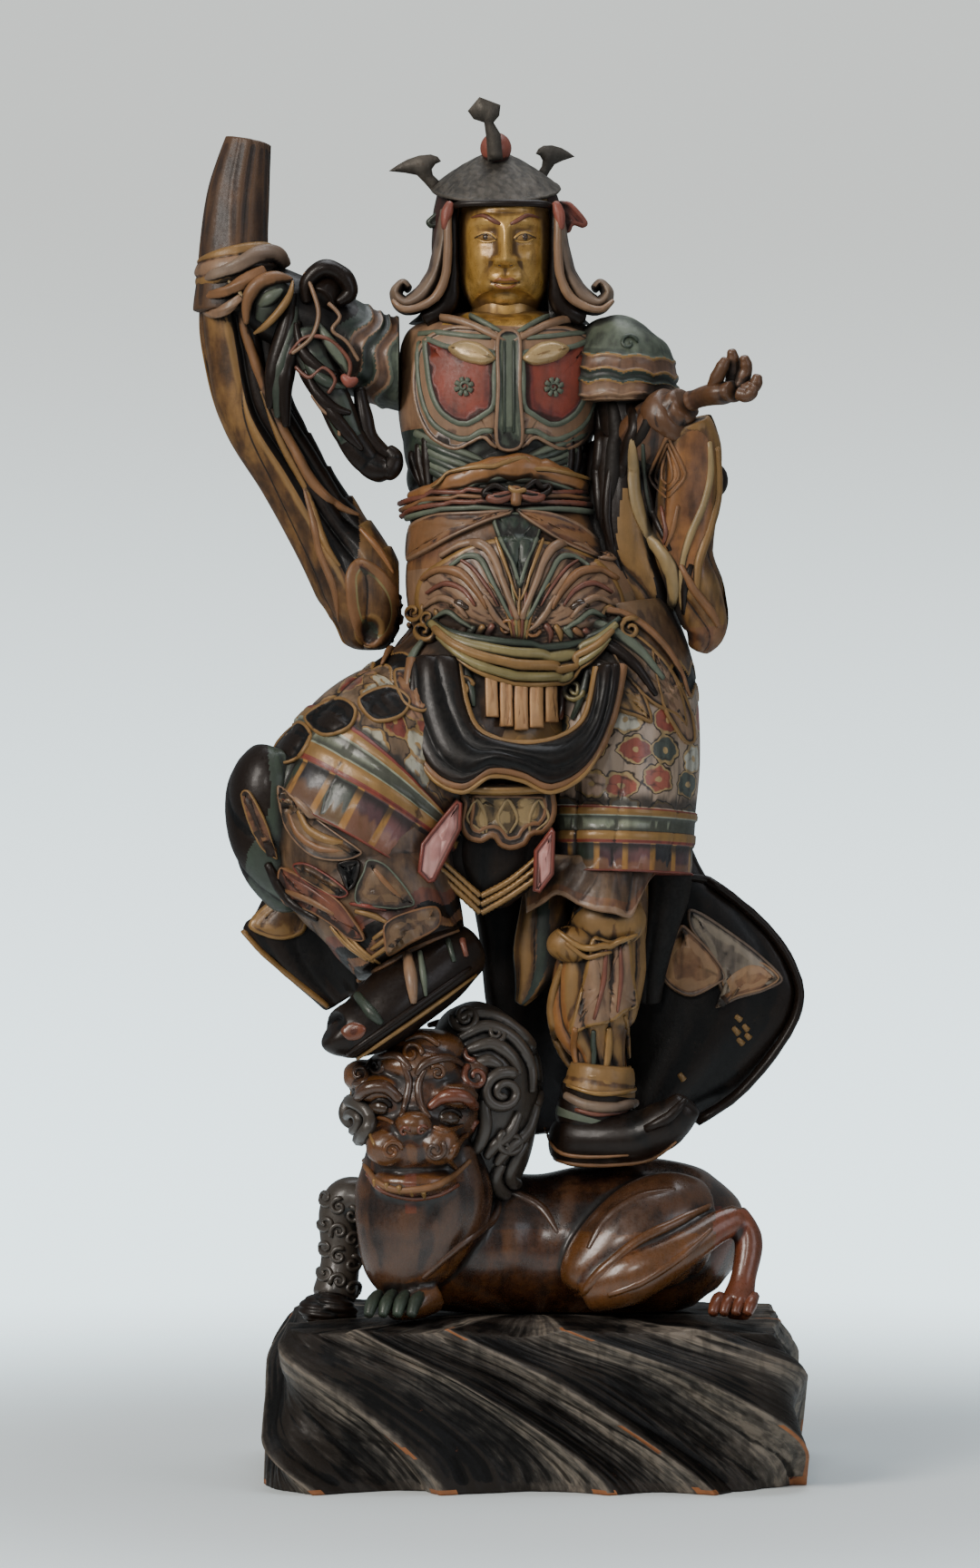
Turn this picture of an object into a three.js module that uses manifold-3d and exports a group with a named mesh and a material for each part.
// A carved and painted wooden guardian king on a lion-dog, standing on a rock plinth.
// Millimetres, +Z up, the figure faces -Y. The origin is the centre of the plinth's underside.
import * as THREE from "three";
import { mergeVertices } from "three/addons/utils/BufferGeometryUtils.js";
import Module from "manifold-3d";

const wasm = await Module();
wasm.setup();

// Driving sizes
const CARVING_HEIGHT = 1036; // plinth's top to the tip of the crown
const PLINTH_WIDTH = 460;
const PLINTH_DEPTH = 330;
const PLINTH_HEIGHT = 140;
const PLINTH_CORNER = 44; // radius of the plinth's corners in plan
const GROOVE_DEPTH = 21; // deepest rock groove
const GROOVE_PITCH = 112; // along the plinth's outline, from ridge to ridge
const GROOVE_SLANT = 150; // how far a ridge runs to the right on its way down
const ROBE_THICKNESS = 13;
const DRAPE_THICKNESS = 12;
const CROWN_WALL = 4;
const CROWN_RIM_RADIUS = 54;
const CROWN_RISE = 31; // top of its dome above its rim
const CROWN_TILT = 18; // degrees, front edge down
const FITTING_THICKNESS = 5; // the crown's horns and front plate
const FINIAL_HEIGHT = 48; // front plate's tip above the top of the dome
const FINIAL_FORWARD = 8; // the bead's centre in front of the dome's
const BEAD_RADIUS = 15;
const HORN_TURN = 42; // degrees that the left horn points backwards
const GAP = 0.3; // between pieces that touch
const SHORTEST_EDGE = 0.05; // a join or cut may close up edges shorter than this

// The figure and the beast are one free form: the numbers of their poses are shares of its height,
// in parts of 1036, and unit turns them into millimetres.
const unit = CARVING_HEIGHT / 1036;
const FAR = 2 * CARVING_HEIGHT; // beyond everything, for cutting
const PAINTED_WOOD = { roughness: 0.5, metalness: 0 };

// Numbers and vectors
const range = (count) => Array.from({ length: count }, (_, i) => i);
const mix = (a, b, t) => a + (b - a) * t;
const vec = (x, y, z) => new THREE.Vector3(x, y, z);

// A value read from a table of [key, value] pairs, straight between them.
function lookUp(pairs, key) {
  const next = pairs.findIndex(([k]) => k >= key);
  if (next <= 0) return next === 0 ? pairs[0][1] : pairs[pairs.length - 1][1];
  const [[k0, v0], [k1, v1]] = [pairs[next - 1], pairs[next]];
  return mix(v0, v1, (key - k0) / (k1 - k0));
}

// A closed geometry as a solid that can be joined and cut.
function solidOf(geometry) {
  const loose = geometry.index ? geometry.toNonIndexed() : geometry.clone();
  loose.deleteAttribute("normal");
  loose.deleteAttribute("uv");
  const merged = mergeVertices(loose, 1e-3);
  const mesh = new wasm.Mesh({
    numProp: 3,
    vertProperties: merged.attributes.position.array,
    triVerts: new Uint32Array(merged.index.array),
    tolerance: SHORTEST_EDGE,
  });
  return new wasm.Manifold(mesh);
}

function geometryOf(solid) {
  const mesh = solid.getMesh();
  const geometry = new THREE.BufferGeometry();
  geometry.setAttribute("position", new THREE.BufferAttribute(mesh.vertProperties, 3));
  geometry.setIndex(new THREE.BufferAttribute(mesh.triVerts, 1));
  return geometry;
}

const joined = (...solids) => solids.flat().reduce((a, b) => a.add(b));

// A solid skinned over closed rings of points, with its two ends closed flat.
function skin(rings) {
  const n = rings[0].length;
  const centre = (ring) => ring.reduce((sum, p) => sum.add(p), vec(0, 0, 0)).divideScalar(n);
  const points = [...rings.flat(), centre(rings[0]), centre(rings[rings.length - 1])];
  const first = points.length - 2;
  const top = (rings.length - 1) * n;
  const faces = [];
  for (let i = 0; i < n; i++) {
    const j = (i + 1) % n;
    for (let r = 0; r < rings.length - 1; r++) {
      const [a, b] = [r * n + i, r * n + j];
      faces.push(a, b, b + n, a, b + n, a + n);
    }
    faces.push(first, j, i, first + 1, top + i, top + j);
  }
  return outward(points, faces);
}

// Points and faces as a solid, turned so that its faces point out.
function outward(points, faces) {
  const volume = range(faces.length / 3).reduce((sum, f) => {
    const [a, b, c] = [0, 1, 2].map((k) => points[faces[3 * f + k]]);
    return sum + a.dot(vec(0, 0, 0).crossVectors(b, c));
  }, 0);
  const turned = volume < 0 ? range(faces.length).map((k) => faces[k - (k % 3) + 2 - (k % 3)]) : faces;
  const geometry = new THREE.BufferGeometry().setFromPoints(points);
  geometry.setIndex(turned);
  return solidOf(geometry);
}

// Rows of a limb with raised bands let in, each from one share of its length to another.
function banded(rows, bands) {
  const last = rows.length - 1;
  const riseAt = (share) => (bands.find(([start, end]) => share > start && share <= end) ?? [0, 0, 0])[2];
  const stops = rows.map((_, i) => [i / last, riseAt(i / last)]);
  const edges = bands.flatMap(([start, end, rise]) =>
    [[start, 0], [start, rise], [end, rise], [end, 0]].slice(0, end < 1 ? 4 : 2),
  );
  const ordered = [...stops, ...edges].sort((p, q) => p[0] - q[0]);
  return ordered.map(([share, rise]) => {
    const i = Math.min(Math.floor(share * last), last - 1);
    const [x, y, z, a, b] = rows[i].map((value, c) => mix(value, rows[i + 1][c], share * last - i));
    return [x, y, z, a + rise, b + rise];
  });
}

// A carved limb or fold: each row is [x, y, z, half width along side, half width across it].
// flute gives lengthwise folds that deepen towards the last row, knob gives curls like a mane's, and
// grow widens it all round by that many millimetres.
function limb(rows, { sides = 10, side = [1, 0, 0], flute = 0, knob = 0, grow = 0 } = {}) {
  const path = rows.map((row) => row.map((value) => value * unit));
  const centres = path.map(([x, y, z]) => vec(x, y, z));
  const last = path.length - 1;
  const rings = path.map((row, i) => {
    const along = centres[Math.min(i + 1, last)].clone().sub(centres[Math.max(i - 1, 0)]).normalize();
    const wide = vec(...side).addScaledVector(along, -vec(...side).dot(along)).normalize();
    const deep = along.clone().cross(wide);
    return range(sides).map((k) => {
      const turn = (2 * Math.PI * k) / sides;
      const swell = 1 + (flute * (i / last) * (-1) ** k) + knob * (-1) ** (k + i);
      return centres[i]
        .clone()
        .addScaledVector(wide, (row[3] * swell + grow) * Math.cos(turn))
        .addScaledVector(deep, (row[4] * swell + grow) * Math.sin(turn));
    });
  });
  return skin(rings);
}

function ball([x, y, z], [rx, ry, rz], detail) {
  const geometry = new THREE.SphereGeometry(1, detail, Math.round(detail * 0.62));
  geometry.scale(rx * unit, ry * unit, rz * unit);
  geometry.translate(x * unit, y * unit, z * unit);
  return solidOf(geometry);
}

// A plank with curved faces: point gives its middle surface for a and b from 0 to 1.
function sheet(point, thickness, across, along) {
  const step = 1e-3;
  const layers = [0.5, -0.5].map((half) =>
    range(along + 1).map((j) =>
      range(across + 1).map((i) => {
        const [a, b] = [i / across, j / along];
        const da = point(Math.min(a + step, 1), b).sub(point(Math.max(a - step, 0), b));
        const db = point(a, Math.min(b + step, 1)).sub(point(a, Math.max(b - step, 0)));
        return point(a, b).addScaledVector(da.cross(db).normalize(), half * thickness);
      }),
    ),
  );
  const points = layers.flat(2);
  const row = across + 1;
  const layer = row * (along + 1);
  const faces = [];
  const quad = (a, b, c, d) => faces.push(a, b, c, a, c, d);
  for (let j = 0; j < along; j++) {
    for (let i = 0; i < across; i++) {
      const a = j * row + i;
      quad(a, a + 1, a + row + 1, a + row);
      quad(layer + a, layer + a + row, layer + a + row + 1, layer + a + 1);
    }
    const [l, r] = [j * row, j * row + across];
    quad(l, l + row, layer + l + row, layer + l);
    quad(r + row, r, layer + r, layer + r + row);
  }
  for (let i = 0; i < across; i++) {
    const [t, b] = [i, along * row + i];
    quad(t + 1, t, layer + t, layer + t + 1);
    quad(b, b + 1, layer + b + 1, layer + b);
  }
  return outward(points, faces);
}

// A flat plate with the outline of [x, z] points, standing across Y.
function plate(outline, y, thickness) {
  const shape = new THREE.Shape(outline.map(([x, z]) => new THREE.Vector2(x, z)));
  const geometry = new THREE.ExtrudeGeometry(shape, { depth: thickness, bevelEnabled: false });
  geometry.rotateX(Math.PI / 2);
  geometry.translate(0, y + thickness / 2, 0);
  return solidOf(geometry);
}

// The Y of the front of a solid at a given x and z.
function frontOf(solid) {
  const mesh = new THREE.Mesh(geometryOf(solid), new THREE.MeshBasicMaterial({ side: THREE.DoubleSide }));
  const caster = new THREE.Raycaster();
  return (x, z, missing) => {
    caster.set(vec(x, -FAR, z), vec(0, 1, 0));
    const hits = caster.intersectObject(mesh);
    return hits.length ? hits[0].point.y : missing;
  };
}

// A raised carved field: its outline of [x, z] points lies on the front of a solid, as front measures it.
function raised(front, outline, rise) {
  const points = outline.map(([x, z]) => [x * unit, z * unit]);
  const middle = [0, 1].map((c) => points.reduce((sum, p) => sum + p[c], 0) / points.length);
  const middleY = front(...middle, 0);
  const ring = (share, lift) =>
    points.map(([x, z]) => {
      const [px, pz] = [mix(middle[0], x, share), mix(middle[1], z, share)];
      return vec(px, front(px, pz, middleY) - lift * unit, pz);
    });
  return skin([ring(1, -9), ring(0.95, rise), ring(0.5, rise)]);
}

function box(low, high) {
  const [a, b] = [vec(...low), vec(...high)];
  const size = b.clone().sub(a);
  const middle = a.add(b).divideScalar(2);
  return solidOf(new THREE.BoxGeometry(...size).translate(...middle));
}

// Plinth

// Points at equal steps round a rectangle with round corners, from a share of the way round.
function roundedRing(halfWidth, halfDepth, corner, count, start) {
  const [flatX, flatY] = [2 * (halfWidth - corner), 2 * (halfDepth - corner)];
  const arc = (Math.PI * corner) / 2;
  const whole = 2 * (flatX + flatY) + 4 * arc;
  const lengths = [flatX, arc, flatY, arc, flatX, arc, flatY, arc];
  return range(count).map((k) => {
    let left = whole * THREE.MathUtils.euclideanModulo(k / count + start, 1);
    let [x, y] = [-halfWidth + corner, -halfDepth];
    for (let s = 0; s < lengths.length && left > 0; s++) {
      const step = Math.min(left, lengths[s]);
      const turn = (Math.floor(s / 2) * Math.PI) / 2;
      if (s % 2 === 0) {
        x += Math.cos(turn) * step;
        y += Math.sin(turn) * step;
      } else {
        const bend = step / corner;
        x += corner * (Math.sin(turn + bend) - Math.sin(turn));
        y += corner * (Math.cos(turn) - Math.cos(turn + bend));
      }
      left -= step;
    }
    return [x, y];
  });
}

// Rock: slanting ridges, a deep groove and a shallow one by turns, rounded over at the top.
function plinth() {
  const levels = [0, 0.32, 0.64, 0.9, 1];
  const shoulder = [0, 0, 2, 7, 20];
  const outline = 2 * (PLINTH_WIDTH + PLINTH_DEPTH) - (8 - 2 * Math.PI) * PLINTH_CORNER;
  const ridges = 2 * Math.round(outline / GROOVE_PITCH / 2);
  const perRidge = 5;
  const rings = levels.map((level, j) => {
    const [halfWidth, halfDepth] = [PLINTH_WIDTH / 2 - shoulder[j], PLINTH_DEPTH / 2 - shoulder[j]];
    const start = (-GROOVE_SLANT * level ** 1.3) / outline;
    const corner = Math.max(PLINTH_CORNER - shoulder[j], 8);
    return roundedRing(halfWidth, halfDepth, corner, ridges * perRidge, start).map(([x, y], k) => {
      const across = Math.sin((Math.PI * (k % perRidge)) / perRidge);
      const deep = Math.floor(k / perRidge) % 2 ? 1 : 0.7;
      const inward = GROOVE_DEPTH * deep * (1 - across ** 0.7) * Math.min(1, 1.25 - level);
      const reach = Math.hypot(x / halfWidth, y / halfDepth);
      const [dx, dy] = [x / halfWidth / reach, y / halfDepth / reach];
      return vec(x - inward * dx, y - inward * dy, level * PLINTH_HEIGHT);
    });
  });
  return skin(rings);
}

// Beast: z is measured from the plinth's top from here on.

const BEAST_SPINE = [
  [-122, -44, 58, 34, 38], [-90, -36, 62, 58, 58], [-40, -20, 58, 60, 60], [10, -10, 56, 64, 62],
  [60, -6, 58, 68, 68], [110, -4, 62, 68, 68], [146, -4, 58, 54, 56], [168, -4, 52, 34, 36],
  [178, -4, 48, 12, 14],
];
const BEAST_NECK = [
  [-112, -62, 12, 32, 30], [-118, -68, 50, 42, 42], [-110, -72, 92, 46, 44], [-98, -76, 150, 46, 46],
];
const BEAST_MANE = [
  [-66, -44, 262, 14, 14], [-58, -48, 244, 38, 38], [-50, -50, 218, 50, 50], [-46, -50, 188, 52, 52],
  [-46, -48, 158, 50, 50], [-50, -44, 130, 44, 44], [-58, -40, 106, 30, 30],
];
const BEAST_SNOUT = [
  [-112, -104, 178, 44, 40], [-134, -126, 180, 34, 32], [-150, -138, 180, 26, 26],
  [-158, -144, 180, 16, 17],
];
const BEAST_JAW = [[-98, -92, 148, 38, 24], [-120, -118, 134, 31, 16], [-138, -132, 132, 20, 10]];
const BEAST_THIGH = [
  [140, -44, 74, 34, 40], [110, -60, 74, 42, 48], [74, -76, 56, 38, 42], [44, -88, 34, 24, 28],
  [34, -92, 22, 10, 12],
];
const BEAST_SHIN = [
  [40, -96, 22, 13, 17], [78, -106, 36, 19, 23], [118, -102, 56, 16, 18], [152, -88, 76, 12, 14],
  [174, -76, 84, 11, 13],
];
const BEAST_FOOT = [
  [170, -74, 92, 8, 9], [181, -78, 66, 12, 12], [176, -88, 34, 11, 11], [170, -98, 12, 16, 15],
  [166, -102, 5, 14, 12],
];
const BEAST_FORELEG = [
  [-130, -22, 80, 22, 20], [-158, -22, 90, 20, 20], [-172, -22, 74, 20, 20], [-170, -26, 40, 19, 19],
  [-176, -32, 8, 24, 18],
];
const BEAST_PAW = [[-96, -84, 30, 24, 24], [-112, -104, 14, 20, 18], [-128, -120, 9, 18, 12]];
const BEAST_TAIL = [
  [168, 20, 50, 16, 16], [160, 56, 62, 20, 20], [128, 78, 72, 24, 22], [92, 84, 66, 20, 18],
  [70, 80, 56, 8, 8],
];

function beast() {
  const across = { side: [0, 1, 0] };
  const topknot = ball([-94, -92, 226], [40, 36, 27], 8);
  const brows = [[-130, -126], [-92, -132]].map(([x, y]) => ball([x, y, 206], [17, 14, 9], 6));
  const masses = joined(
    limb(BEAST_SPINE, { ...across, sides: 11 }),
    limb(BEAST_NECK),
    limb(BEAST_MANE, { sides: 12, knob: 0.08 }),
    ball([-94, -84, 182], [56, 54, 52], 9),
    limb(BEAST_SNOUT, across),
    limb(BEAST_JAW, { ...across, sides: 8 }),
    limb(BEAST_THIGH, across),
    limb(BEAST_SHIN, { ...across, sides: 8 }),
    limb(BEAST_FOOT, { sides: 8 }),
    limb(BEAST_FORELEG, { sides: 8, knob: 0.09 }),
    limb(BEAST_PAW, { ...across, sides: 8 }),
    limb(BEAST_TAIL, { sides: 8, knob: 0.1 }),
    topknot,
    brows,
  );
  return masses.subtract(box([-FAR, -FAR, -FAR], [FAR, FAR, GAP]));
}

// Figure: masses under the carving

const TORSO = [
  [0, 6, 520, 92, 70], [2, 2, 578, 103, 78], [-19, -4, 620, 92, 76], [-26, -6, 658, 84, 66],
  [-31, -2, 690, 76, 57], [-33, 3, 728, 77, 56], [-32, 6, 766, 85, 62], [-29, 8, 800, 88, 63],
  [-27, 10, 828, 87, 58], [-26, 12, 846, 74, 48], [-26, 12, 860, 44, 38],
];
const NECK = [[-26, 4, 840, 34, 34], [-25, 0, 862, 29, 30], [-25, 0, 884, 28, 30]];
const HEAD = [
  [-25, -20, 854, 13, 16], [-25, -14, 862, 28, 34], [-25, -10, 880, 38, 45], [-25, -8, 902, 41, 49],
  [-25, -8, 926, 42, 50], [-25, -6, 950, 40, 47], [-25, -2, 976, 30, 36],
];
const HOOD = [
  [-30, 20, 850, 78, 52], [-30, 16, 862, 66, 52], [-31, 12, 886, 57, 52], [-31, 8, 917, 57, 54],
  [-31, 6, 942, 56, 54], [-32, 4, 964, 50, 50], [-33, 0, 984, 36, 38], [-33, -2, 996, 16, 18],
];
const HOOD_ROLL = [
  [-78, 2, 918, 36, 8], [-86, 0, 886, 37, 9], [-98, 0, 868, 36, 10], [-112, 0, 864, 33, 8],
  [-119, 0, 874, 31, 6], [-111, 0, 883, 28, 4],
];
const RAISED_SKIRT = [
  [-10, 4, 585, 74, 74], [-50, -10, 520, 82, 84], [-92, -24, 482, 86, 88], [-130, -36, 452, 90, 90],
  [-158, -44, 410, 92, 90],
];
const STANDING_SKIRT = [
  [58, 4, 602, 58, 68], [68, 1, 545, 69, 80], [71, -1, 480, 71, 88], [69, -4, 420, 68, 88],
  [68, -6, 374, 66, 84],
];
const APRON = [
  [-24, -8, 590, 62, 60], [-24, -24, 540, 60, 62], [-27, -44, 480, 56, 50], [-32, -58, 430, 50, 34],
  [-38, -66, 385, 46, 22], [-45, -68, 348, 18, 12],
];
const RAISED_TROUSER = [
  [-152, -52, 430, 84, 72], [-140, -66, 384, 76, 66], [-120, -80, 340, 60, 54], [-104, -90, 306, 47, 44],
];
const KNEE_FOLD = [
  [-214, -56, 476, 20, 30], [-224, -62, 452, 36, 40], [-224, -60, 416, 36, 40],
  [-216, -56, 384, 32, 34], [-200, -44, 348, 18, 22],
];
const STANDING_TROUSER = [
  [52, -34, 380, 46, 44], [42, -38, 330, 48, 40], [38, -38, 290, 44, 36], [44, -42, 250, 33, 29],
  [55, -46, 222, 18, 18], [58, -46, 200, 19, 19],
];
const HANGING_FOLD = [
  [8, -14, 400, 24, 22], [2, -22, 350, 21, 20], [-3, -28, 305, 14, 14], [-11, -33, 270, 5, 5],
];
const KNEE_CLOTH = [[76, -66, 330, 17, 14], [80, -72, 300, 15, 11], [84, -72, 270, 20, 10]];
const RAISED_BOOT = [
  [-50, -70, 316, 24, 20], [-78, -84, 300, 36, 31], [-110, -102, 275, 38, 31],
  [-140, -120, 251, 33, 27], [-164, -134, 243, 23, 20], [-173, -138, 246, 13, 12],
];
const STANDING_BOOT = [
  [12, -38, 152, 12, 14], [30, -40, 150, 28, 24], [62, -50, 150, 32, 24], [92, -62, 154, 27, 22],
  [116, -74, 168, 19, 19], [131, -80, 184, 9, 12],
];
const STANDING_SHAFT = [
  [58, -46, 214, 26, 25], [55, -46, 192, 31, 29], [48, -44, 166, 30, 28], [46, -44, 148, 26, 26],
];
const LEFT_UPPER_ARM = [
  [72, 2, 812, 34, 38], [80, 0, 772, 30, 34], [84, -6, 732, 30, 32], [86, -8, 716, 22, 24],
];
const LEFT_FOREARM = [
  [80, -10, 728, 26, 28], [100, -32, 752, 26, 26], [118, -50, 768, 20, 20], [129, -60, 776, 14, 14],
];
const SLEEVE_INNER = [
  [78, -4, 748, 31, 30], [76, -14, 700, 32, 28], [77, -18, 656, 30, 25], [93, -18, 618, 22, 20],
  [103, -16, 590, 9, 11], [105, -15, 581, 3, 4],
];
const SLEEVE_OUTER = [
  [128, -44, 762, 20, 20], [134, -40, 738, 24, 22], [130, -34, 690, 25, 24], [127, -26, 650, 25, 24],
  [141, -20, 612, 22, 22], [146, -16, 584, 17, 17], [139, -14, 566, 6, 7],
];
const SHOULDER_PAD = [
  [79, 2, 850, 10, 10], [77, 1, 841, 28, 30], [75, 0, 822, 43, 45], [74, 0, 808, 46, 49],
  [74, 0, 807, 50, 53], [73, 0, 790, 50, 53], [72, 0, 782, 42, 45],
];

// The raised arm, a separate carving that meets the body at a flat seam.
const SEAM_X = -116;
const SEAM_LOW = 740;
const SEAM_HIGH = 858;
const UPPER_ARM = [
  [-104, 2, 811, 39, 40], [-140, 0, 820, 40, 38], [-180, -4, 842, 38, 36], [-222, -6, 862, 36, 34],
  [-250, -6, 878, 30, 30],
];
const UPPER_ARM_BANDS = [[0.1, 0.42, 5]];
const FOREARM = [
  [-258, -6, 856, 35, 32], [-258, -6, 890, 32, 31], [-258, -4, 920, 29, 27], [-254, -2, 962, 26, 23],
  [-246, 0, 1006, 19, 17],
];
const CUFF = [[-252, -6, 882, 39, 36], [-255, -6, 896, 41, 37], [-259, -5, 912, 36, 33]];
const SLEEVE = [
  [-254, -2, 884, 34, 32], [-247, 4, 830, 37, 33], [-237, 6, 775, 33, 33], [-206, 8, 722, 31, 33],
  [-178, 8, 673, 32, 33], [-152, 6, 630, 37, 33], [-144, 4, 600, 30, 29], [-143, 2, 576, 20, 19],
  [-143, 2, 567, 9, 8],
];
const SHOULDER_ROLL = [
  [-184, -40, 862, 13, 14], [-176, -22, 874, 18, 19], [-172, 10, 876, 19, 20], [-172, 34, 870, 14, 15],
];
const ARM_RIBBON = [
  [-196, -38, 842, 15, 10], [-188, -44, 812, 16, 10], [-172, -44, 782, 14, 9], [-158, -42, 750, 12, 9],
  [-142, -40, 727, 11, 9], [-127, -38, 720, 10, 9], [-120, -36, 730, 8, 8], [-127, -36, 739, 5, 5],
];

const mirrored = (rows, middle) => rows.map(([x, ...rest]) => [2 * middle - x, ...rest]);

function headAndHelmet() {
  const across = { side: [0, 1, 0] };
  const opening = box([-67 * unit, -FAR, 838 * unit], [17 * unit, -14 * unit, 952 * unit]);
  const hood = limb(HOOD, { sides: 12 }).subtract(opening);
  const rolls = [HOOD_ROLL, mirrored(HOOD_ROLL, -31)].map((rows) => limb(rows, { ...across, sides: 5 }));
  const flares = [[-78, -94], [16, 44]].map(([x0, x1]) => {
    const rows = [[x0, -6, 930, 8, 15], [(x0 + x1) / 2, -8, 936, 6, 11], [x1, -8, 944, 2, 3]];
    return limb(rows, { ...across, sides: 5 });
  });
  const nose = limb([[-25, -54, 922, 4, 4], [-25, -62, 899, 9, 8], [-25, -56, 891, 6, 5]], { sides: 6 });
  return joined(hood, rolls, flares, limb(HEAD, { sides: 9 }), limb(NECK, { sides: 6 }), nose);
}

function leftArmAndSleeve() {
  return joined(
    limb(SHOULDER_PAD, { sides: 10 }),
    limb(LEFT_UPPER_ARM, { sides: 6 }),
    limb(LEFT_FOREARM, { sides: 6 }),
    limb(SLEEVE_INNER, { sides: 7 }),
    limb(SLEEVE_OUTER, { sides: 7 }),
  );
}

function legsAndBoots() {
  const across = { side: [0, 1, 0] };
  return joined(
    limb(RAISED_TROUSER, { flute: 0.07 }),
    limb(KNEE_FOLD, { sides: 7 }),
    limb(RAISED_BOOT, { ...across, sides: 9 }),
    limb(STANDING_TROUSER, { flute: 0.06 }),
    limb(HANGING_FOLD, { sides: 6 }),
    limb(KNEE_CLOTH, { sides: 6 }),
    limb(STANDING_SHAFT, { sides: 7 }),
    limb(STANDING_BOOT, across),
  );
}

// The long tail of the robe behind the legs, swept out to the figure's left.
const ROBE_RIGHT = [
  [140, 140], [165, 145], [179, 170], [203, 195], [223, 212], [257, 231], [271, 232], [295, 221],
  [320, 206], [344, 181], [358, 156], [440, 120],
];
const ROBE_LEFT = [[140, -8], [249, -42], [440, -74]];

function robeTail() {
  const point = (a, b) => {
    const z = mix(430, mix(142, 166, a), b);
    const x = mix(lookUp(ROBE_LEFT, z), lookUp(ROBE_RIGHT, z), a);
    const fold = 7 * Math.sin(9 * a + 2 * b) * (0.4 + b);
    return vec(x * unit, (46 + 14 * a + fold) * unit, z * unit);
  };
  return sheet(point, ROBE_THICKNESS, 6, 7);
}

function sideDrape() {
  const point = (a, b) => {
    const left = lookUp([[0, -214], [0.42, -246], [1, -176]], b);
    const right = lookUp([[0, -128], [1, -140]], b);
    const z = mix(388, mix(259, 280, a), b);
    return vec(mix(left, right, a) * unit, (4 - 26 * a + 4 * Math.sin(7 * a)) * unit, z * unit);
  };
  return sheet(point, DRAPE_THICKNESS, 3, 4);
}

// Armour and ornament, raised on the front of the masses

const BREASTPLATE = [
  [-98, 832], [-76, 843], [-50, 838], [-38, 824], [-37, 760], [-48, 741], [-66, 744], [-95, 768],
  [-103, 800],
];
const CHEST_STRAP = [[-37, 838], [-16, 838], [-15, 746], [-38, 746]];
const SASH = [[-32, 684], [-76, 672], [-98, 646], [-101, 626], [-80, 640], [-30, 664]];
const BEAST_MASK = [
  [-82, 632], [-58, 651], [-15, 660], [28, 651], [54, 630], [66, 600], [52, 575], [-10, 562],
  [-74, 576], [-88, 602],
];
const MASK_LIP = [
  [-84, 586], [-60, 574], [-10, 566], [50, 574], [74, 590], [60, 562], [-10, 546], [-64, 560],
];
const MASK_TEETH = [[-46, 552], [30, 552], [26, 502], [-40, 502]];
const BELT_SHARES = [[0.36, 0.44, 6]];
const SKIRT_BANDS = [[0.55, 0.7, 5], [0.82, 1, 5]];
const APRON_SCALLOPS = [
  [-70, 446], [14, 446], [18, 420], [4, 402], [-14, 400], [-28, 410], [-44, 398], [-62, 404],
  [-72, 424],
];
const APRON_CHEVRON = [[-92, 382], [-66, 438], [12, 438], [10, 378], [-46, 343]];
const LOZENGES = [
  [[-64, 442], [-54, 424], [-82, 370], [-99, 372], [-97, 394]],
  [[0, 400], [17, 426], [17, 380], [-2, 356]],
];
const DRAPE_LOOP = [
  [-88, -92, 548, 15, 11], [-93, -98, 510, 17, 12], [-70, -110, 473, 18, 13], [-30, -112, 482, 15, 13],
  [12, -112, 467, 18, 13], [46, -102, 496, 16, 12], [56, -90, 548, 13, 11],
];

function figure() {
  const pleated = { sides: 14, flute: 0.03 };
  const masses = joined(
    limb(banded(TORSO, BELT_SHARES), { sides: 12 }),
    limb(banded(RAISED_SKIRT, SKIRT_BANDS), pleated),
    limb(banded(STANDING_SKIRT, SKIRT_BANDS), pleated),
    limb(APRON, { sides: 8 }),
  );
  const front = frontOf(masses);
  const both = (outline) => [outline, outline.map(([x, z]) => [-54 - x, z])];
  const hanging = (outline, y, thickness) => {
    const scaled = outline.map((point) => point.map((value) => value * unit));
    return plate(scaled, y * unit, thickness * unit);
  };
  const armour = [
    ...both(BREASTPLATE).map((outline) => raised(front, outline, 8)),
    raised(front, CHEST_STRAP, 11),
    ...both(SASH).map((outline) => raised(front, outline, 12)),
    raised(front, BEAST_MASK, 12),
    raised(front, MASK_LIP, 22),
    raised(front, MASK_TEETH, 14),
    hanging(APRON_CHEVRON, -80, 24),
    hanging(APRON_SCALLOPS, -92, 24),
    ...LOZENGES.map((outline) => hanging(outline, -92, 20)),
    limb(DRAPE_LOOP, { side: [0, 0, 1], sides: 6 }),
    ball([-15, -66, 704], [17, 12, 15], 7),
  ];
  return joined(masses, armour, headAndHelmet(), leftArmAndSleeve(), legsAndBoots(), robeTail(), sideDrape());
}

function raisedArm() {
  return joined(
    limb(banded(UPPER_ARM, UPPER_ARM_BANDS), { side: [0, 1, 0] }),
    limb(FOREARM),
    limb(CUFF),
    limb(SLEEVE, { flute: 0.12 }),
    limb(SHOULDER_ROLL, { sides: 7 }),
    limb(ARM_RIBBON, { sides: 5 }),
  );
}

// The open hand, a separate carving let into the end of the sleeve.
const PALM = [
  [131, -62, 777, 10, 9], [144, -72, 781, 12, 9], [158, -82, 783, 17, 10], [170, -90, 784, 15, 9],
];
const FINGERS = [
  [[150, -84, 786, 6, 6], [156, -92, 800, 6, 6], [162, -94, 812, 4, 4]],
  [[166, -80, 788, 6, 6], [168, -82, 806, 6, 6], [166, -86, 820, 4, 4]],
  [[172, -86, 786, 6, 6], [178, -88, 802, 6, 6], [176, -92, 814, 4, 4]],
  [[174, -92, 784, 6, 6], [185, -94, 788, 6, 6], [188, -96, 798, 4, 4]],
  [[170, -96, 782, 6, 6], [180, -100, 780, 6, 6], [186, -102, 788, 4, 4]],
];

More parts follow.
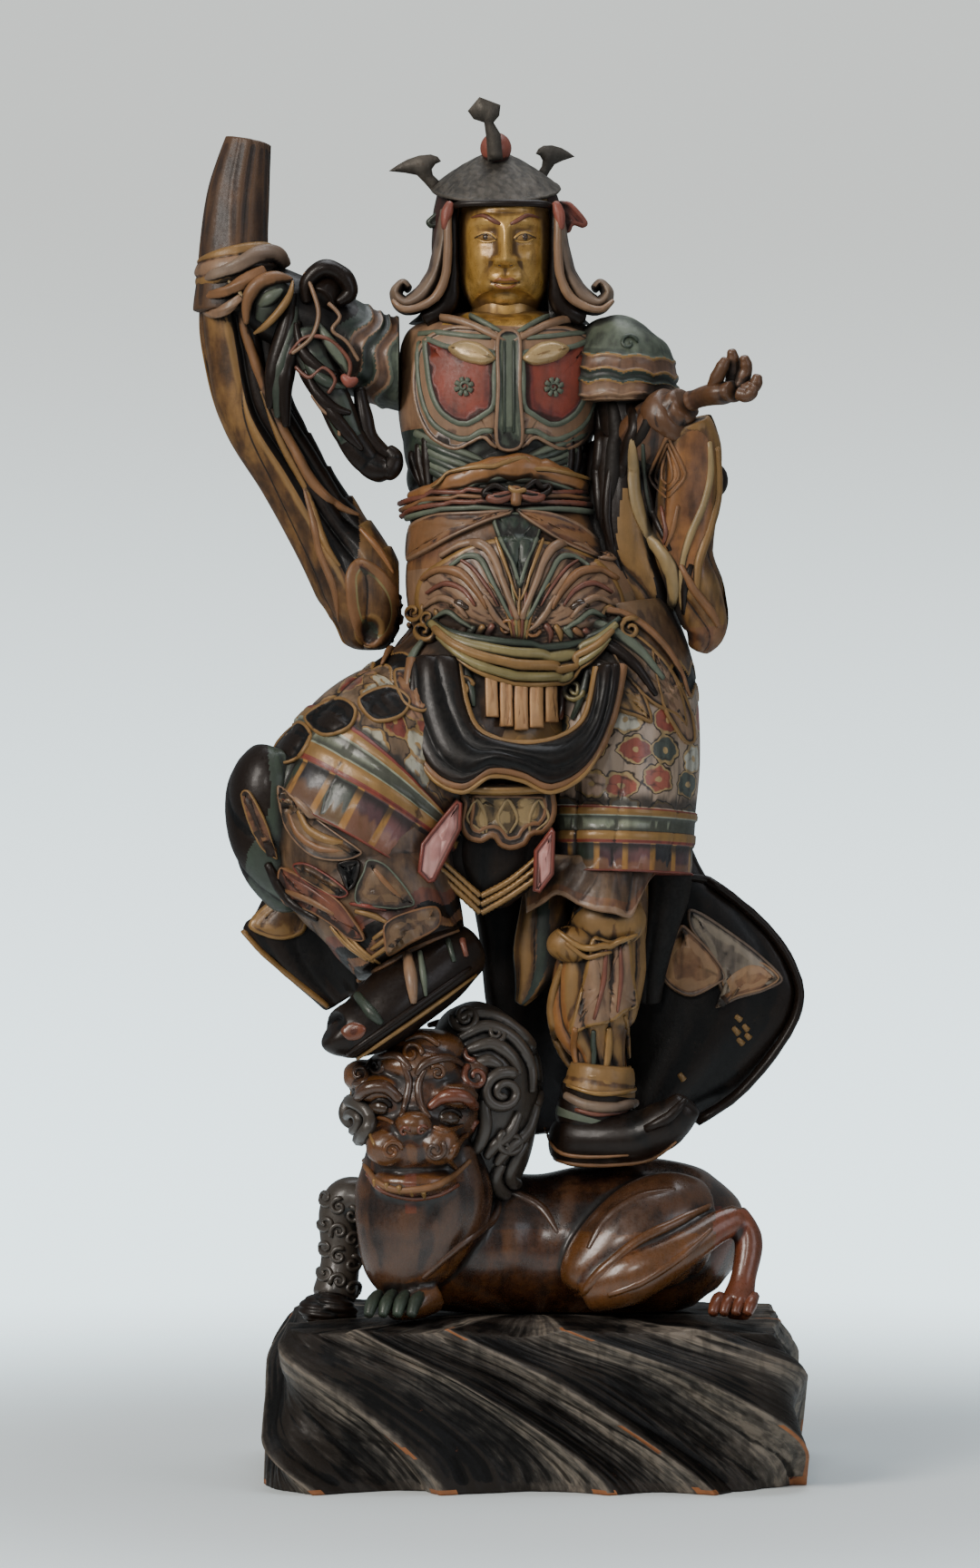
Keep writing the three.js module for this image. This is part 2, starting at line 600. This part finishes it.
function leftHand(grow) {
  const fingers = FINGERS.map((rows) => limb(rows, { sides: 5, grow }));
  return joined(limb(PALM, { side: [0, 1, 0], sides: 8, grow }), fingers);
}

// The metal crown on the wooden helmet: a shallow dome tilted forward, with horns and a front plate.
// HORN is [outwards from the rim, up], and FINIAL is [x, share of its height above the dome].
const CROWN_AT = [-33, -4, 966];
const HORN = [
  [-10, 0], [-2, -6], [16, 8], [39, 13], [29, 21], [15, 28], [4, 29], [-6, 23], [-1, 15], [-10, 8],
];
const FINIAL = [
  [-10, -0.4], [10, -0.4], [2, 0], [2, 0.3], [6, 0.77], [-12, 1], [-23, 0.75], [-9, 0.3], [-8, 0],
];

function tilted(solid) {
  const [x, y, z] = CROWN_AT.map((value) => value * unit);
  return solid.rotate([CROWN_TILT, 0, 0]).translate([x, y, z]);
}

// The space between the crown's inner face, lowered by drop, and a face at a height above it.
// A brim carries both faces out past the rim to that radius.
function domeShell(drop, height, brim) {
  const span = CROWN_RIM_RADIUS * unit;
  const domeZ = (r) => CROWN_RISE * unit * (1 - (r / span) ** 1.4) - CROWN_WALL;
  const radii = [0, 0.3 * span, 0.65 * span, span, brim].filter((r) => r !== undefined);
  const inner = radii.map((r) => new THREE.Vector2(r, domeZ(r) - drop));
  const outer = radii.map((r) => new THREE.Vector2(r, domeZ(r) + height)).reverse();
  return solidOf(new THREE.LatheGeometry([...inner, ...outer], 13).rotateX(Math.PI / 2));
}

// Everything above the crown's inner face or, with a drop, above a face that much lower.
const crownSeat = (drop) => tilted(domeShell(drop, FAR, 2.2 * CROWN_RIM_RADIUS * unit));

function crown() {
  const horn = HORN.map(([x, z]) => [-(CROWN_RIM_RADIUS + x) * unit, z * unit]);
  const finial = FINIAL.map(([x, share]) => [x * unit, (CROWN_RISE + share * FINIAL_HEIGHT) * unit]);
  const bead = new THREE.SphereGeometry(BEAD_RADIUS * unit, 8, 5);
  bead.translate(0, -FINIAL_FORWARD * unit, (CROWN_RISE + BEAD_RADIUS / 4) * unit);
  const fittings = joined(
    plate(horn, 0, FITTING_THICKNESS),
    plate(horn, 0, FITTING_THICKNESS).mirror([1, 0, 0]).rotate([0, 0, HORN_TURN]),
    plate(finial, -(FINIAL_FORWARD + BEAD_RADIUS / 2) * unit, FITTING_THICKNESS),
    solidOf(bead),
  );
  return tilted(domeShell(0, CROWN_WALL)).add(tilted(fittings).intersect(crownSeat(-CROWN_WALL / 2)));
}

const beastSolid = beast();
const armSolid = raisedArm().intersect(box([-FAR, -FAR, 0], [SEAM_X * unit - GAP, FAR, FAR]));
const figureSolid = figure()
  .subtract(crownSeat(GAP))
  .subtract(box([-FAR, -FAR, SEAM_LOW * unit], [SEAM_X * unit, FAR, SEAM_HIGH * unit]))
  .subtract(beastSolid.translate([0, 0, GAP]))
  .subtract(leftHand(GAP));

const carving = new THREE.Group();
carving.position.z = PLINTH_HEIGHT;
const part = new THREE.Group();

function piece(parent, name, solid, colour, finish = PAINTED_WOOD) {
  const material = new THREE.MeshStandardMaterial({ color: colour, ...finish });
  const mesh = new THREE.Mesh(geometryOf(solid), material);
  mesh.name = name;
  parent.add(mesh);
}

piece(part, "rock_plinth", plinth(), 0x2f2b27);
piece(carving, "lion_dog", beastSolid, 0x5a3a20);
piece(carving, "guardian_figure", figureSolid, 0x7a5c38);
piece(carving, "raised_arm", armSolid, 0x6d4a28);
piece(carving, "open_hand", leftHand(0), 0x3a2418);
piece(carving, "helmet_crown", crown(), 0x4a4640, { roughness: 0.45, metalness: 0.8 });
part.add(carving);

export default part;
